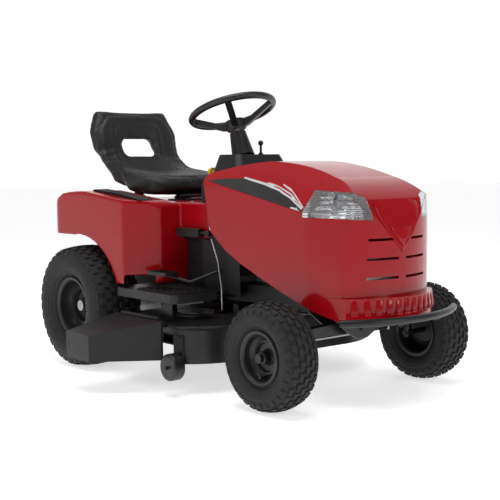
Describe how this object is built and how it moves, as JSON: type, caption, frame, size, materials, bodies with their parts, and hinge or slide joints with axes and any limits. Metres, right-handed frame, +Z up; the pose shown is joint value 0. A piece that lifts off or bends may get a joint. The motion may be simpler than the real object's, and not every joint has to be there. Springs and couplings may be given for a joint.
{
  "type": "riding lawn mower",
  "caption": "Ride-on lawn mower with tilting hood, steered front wheels, sprung seat and a lifting side-discharge deck.",
  "frame": {"origin": "centre of the bounding box's underside, on the ground", "axes": "+X forward towards the hood, +Y to the machine's left, +Z up"},
  "size_m": [1.616, 1.1599, 1.0232],
  "materials": {
    "red_paint": "gloss red moulded and painted body panels",
    "black_steel": "satin black powder coat",
    "dark_grey_plastic": "grained charcoal moulding",
    "black_rubber": "matt rubber",
    "tyre_rubber": "matt tyre rubber",
    "rim_paint": "satin charcoal paint",
    "bare_steel": "zinc plated and machined steel",
    "cast_alloy": "as cast alloy",
    "clear_lens": "clear moulded lens",
    "reflector": "bright reflector",
    "seat_vinyl": "grained black vinyl over foam",
    "yellow_plastic": "yellow moulding",
    "white_plastic": "translucent fuel tank moulding",
    "wheel_plastic": "satin black moulding"
  },
  "bodies": {
    "chassis": {"frame_rails": "black_steel", "bumper": "black_steel", "transaxle": "cast_alloy", "engine_block": "cast_alloy", "engine_shroud": "wheel_plastic", "muffler": "bare_steel", "fuel_tank": "white_plastic", "battery": "wheel_plastic", "fender_body": "red_paint", "fender_grips": "black_rubber", "footrests": "black_steel", "foot_mats": "black_rubber", "console_cover": "dark_grey_plastic", "dash_panel": "dark_grey_plastic", "seat_springs": "black_rubber", "seat_pivot": "black_steel", "drive_belt": "black_rubber", "lamp_lead": "wheel_plastic"},
    "steering": {"steering_wheel": "wheel_plastic", "steering_shaft": "bare_steel"},
    "lower_steering": {"lower_shaft": "bare_steel"},
    "sector": {"steering_sector": "bare_steel"},
    "axle": {"front_axle": "black_steel"},
    "left_knuckle": {"knuckle_left": "black_steel"},
    "right_knuckle": {"knuckle_right": "black_steel"},
    "tie": {"tie_rod": "bare_steel"},
    "drag": {"drag_link": "bare_steel"},
    "front_wheel_left": {"front_tyre_left": "tyre_rubber", "front_rim_left": "rim_paint"},
    "front_wheel_right": {"front_tyre_right": "tyre_rubber", "front_rim_right": "rim_paint"},
    "rear_wheel_left": {"rear_tyre_left": "tyre_rubber", "rear_rim_left": "rim_paint", "axle_shaft_left": "bare_steel"},
    "rear_wheel_right": {"rear_tyre_right": "tyre_rubber", "rear_rim_right": "rim_paint", "axle_shaft_right": "bare_steel"},
    "crankshaft": {"engine_pulley": "bare_steel"},
    "hood_lid": {"hood": "red_paint", "hood_vent": "dark_grey_plastic", "headlight_lenses": "clear_lens", "lamp_housings": "reflector"},
    "seat": {"seat_cushion": "seat_vinyl", "seat_bracket": "black_steel"},
    "deck": {"deck_shell": "black_steel", "blade_belt": "black_rubber", "lift_rod": "bare_steel"},
    "left_cutter": {"spindle_left": "bare_steel", "blade_left": "black_steel"},
    "right_cutter": {"spindle_right": "bare_steel", "blade_right": "black_steel"},
    "deflector_flap": {"deflector": "dark_grey_plastic"},
    "gauge": {"gauge_wheel": "wheel_plastic"},
    "lever": {"lift_lever": "wheel_plastic"},
    "drive_foot": {"drive_pedal": "black_steel"},
    "brake_foot": {"brake_pedal": "black_steel"},
    "key": {"ignition_key": "bare_steel"},
    "throttle": {"throttle_lever": "wheel_plastic"},
    "cutter_knob": {"pto_knob": "yellow_plastic"}
  },
  "joints": [
    {"name": "steering_turn", "type": "hinge", "parent": "chassis", "child": "steering", "pos_m": [-0.109, 0.08, 0.958], "axis": [-0.342, 0, 0.9397], "range_deg": [-135, 135]},
    {"name": "lower_shaft_turn", "type": "hinge", "parent": "chassis", "child": "lower_steering", "pos_m": [0.0304, 0.08, 0.4], "axis": [0, 0, 1], "range_deg": [-136, 136]},
    {"name": "sector_turn", "type": "hinge", "parent": "chassis", "child": "sector", "pos_m": [0.0304, 0.157, 0.275], "axis": [0, 0, 1], "range_deg": [-31, 31]},
    {"name": "axle_rock", "type": "hinge", "parent": "chassis", "child": "axle", "pos_m": [0.499, 0.08, 0.226], "axis": [1, 0, 0], "range_deg": [-5, 5]},
    {"name": "left_knuckle_turn", "type": "hinge", "parent": "axle", "child": "left_knuckle", "pos_m": [0.499, 0.355, 0.23], "axis": [0, 0, 1], "range_deg": [-31, 31]},
    {"name": "right_knuckle_turn", "type": "hinge", "parent": "axle", "child": "right_knuckle", "pos_m": [0.499, -0.195, 0.23], "axis": [0, 0, 1], "range_deg": [-31, 31]},
    {"name": "tie_rod_turn", "type": "hinge", "parent": "left_knuckle", "child": "tie", "pos_m": [0.414, 0.355, 0.1805], "axis": [0, 0, 1], "range_deg": [-31, 31]},
    {"name": "drag_link_turn", "type": "hinge", "parent": "left_knuckle", "child": "drag", "pos_m": [0.499, 0.28, 0.262], "axis": [0, 0, 1], "range_deg": [-31, 31]},
    {"name": "front_left_roll", "type": "hinge", "parent": "left_knuckle", "child": "front_wheel_left", "pos_m": [0.499, 0.442, 0.1715], "axis": [0, 1, 0], "continuous": true},
    {"name": "front_right_roll", "type": "hinge", "parent": "right_knuckle", "child": "front_wheel_right", "pos_m": [0.499, -0.282, 0.1715], "axis": [0, 1, 0], "continuous": true},
    {"name": "rear_left_roll", "type": "hinge", "parent": "chassis", "child": "rear_wheel_left", "pos_m": [-0.543, 0.445, 0.23], "axis": [0, 1, 0], "continuous": true},
    {"name": "rear_right_roll", "type": "hinge", "parent": "chassis", "child": "rear_wheel_right", "pos_m": [-0.543, -0.285, 0.23], "axis": [0, 1, 0], "continuous": true},
    {"name": "crankshaft_turn", "type": "hinge", "parent": "chassis", "child": "crankshaft", "pos_m": [0.257, 0.08, 0.3], "axis": [0, 0, 1], "continuous": true},
    {"name": "hood_tilt", "type": "hinge", "parent": "chassis", "child": "hood_lid", "pos_m": [0.719, 0.08, 0.33], "axis": [0, 1, 0], "range_deg": [0, 60]},
    {"name": "seat_tilt", "type": "hinge", "parent": "chassis", "child": "seat", "pos_m": [-0.328, 0.08, 0.641], "axis": [0, 1, 0], "range_deg": [0, 55]},
    {"name": "deck_lift", "type": "slide", "parent": "chassis", "child": "deck", "axis": [0, 0, 1], "range_m": [-0.052, 0]},
    {"name": "left_cutter_turn", "type": "hinge", "parent": "deck", "child": "left_cutter", "pos_m": [-0.008, 0.322, 0.2], "axis": [0, 0, 1], "continuous": true},
    {"name": "right_cutter_turn", "type": "hinge", "parent": "deck", "child": "right_cutter", "pos_m": [-0.033, -0.162, 0.2], "axis": [0, 0, 1], "continuous": true},
    {"name": "deflector_lift", "type": "hinge", "parent": "deck", "child": "deflector_flap", "pos_m": [-0.068, -0.376, 0.248], "axis": [-1, 0, 0], "range_deg": [0, 80]},
    {"name": "gauge_roll", "type": "hinge", "parent": "deck", "child": "gauge", "pos_m": [0.133, -0.388, 0.1], "axis": [0, 1, 0], "continuous": true},
    {"name": "lever_lift", "type": "hinge", "parent": "chassis", "child": "lever", "pos_m": [0.013, -0.139, 0.521], "axis": [0, 1, 0], "range_deg": [0, 30]},
    {"name": "drive_pedal_rock", "type": "hinge", "parent": "chassis", "child": "drive_foot", "pos_m": [0.055, -0.15, 0.392], "axis": [0, 1, 0], "range_deg": [-8, 8], "stiffness_Nm_per_rad": 30},
    {"name": "brake_pedal_press", "type": "hinge", "parent": "chassis", "child": "brake_foot", "pos_m": [0.055, 0.31, 0.392], "axis": [0, -1, 0], "range_deg": [0, 12], "stiffness_Nm_per_rad": 12, "springref_deg": -8.59},
    {"name": "key_turn", "type": "hinge", "parent": "chassis", "child": "key", "pos_m": [-0.093, 0.164, 0.735], "axis": [1, 0, 0], "range_deg": [0, 90]},
    {"name": "throttle_set", "type": "hinge", "parent": "chassis", "child": "throttle", "pos_m": [-0.043, 0.16, 0.796], "axis": [0, 1, 0], "range_deg": [-22, 22]},
    {"name": "cutter_knob_pull", "type": "slide", "parent": "chassis", "child": "cutter_knob", "axis": [-1, 0, 0], "range_m": [0, 0.012]}
  ],
  "couplings": [
    {"joint": "lower_shaft_turn", "follows": "steering_turn", "ratio": 1},
    {"joint": "sector_turn", "follows": "steering_turn", "ratio": -0.22222},
    {"joint": "left_knuckle_turn", "follows": "steering_turn", "ratio": 0.22222},
    {"joint": "right_knuckle_turn", "follows": "steering_turn", "ratio": 0.22222},
    {"joint": "tie_rod_turn", "follows": "steering_turn", "ratio": -0.22222},
    {"joint": "drag_link_turn", "follows": "steering_turn", "ratio": -0.22222},
    {"joint": "left_cutter_turn", "follows": "right_cutter_turn", "ratio": 1},
    {"joint": "crankshaft_turn", "follows": "right_cutter_turn", "ratio": 1.2917},
    {"joint": "lever_lift", "follows": "deck_lift", "rad_per_m": -9.4}
  ]
}
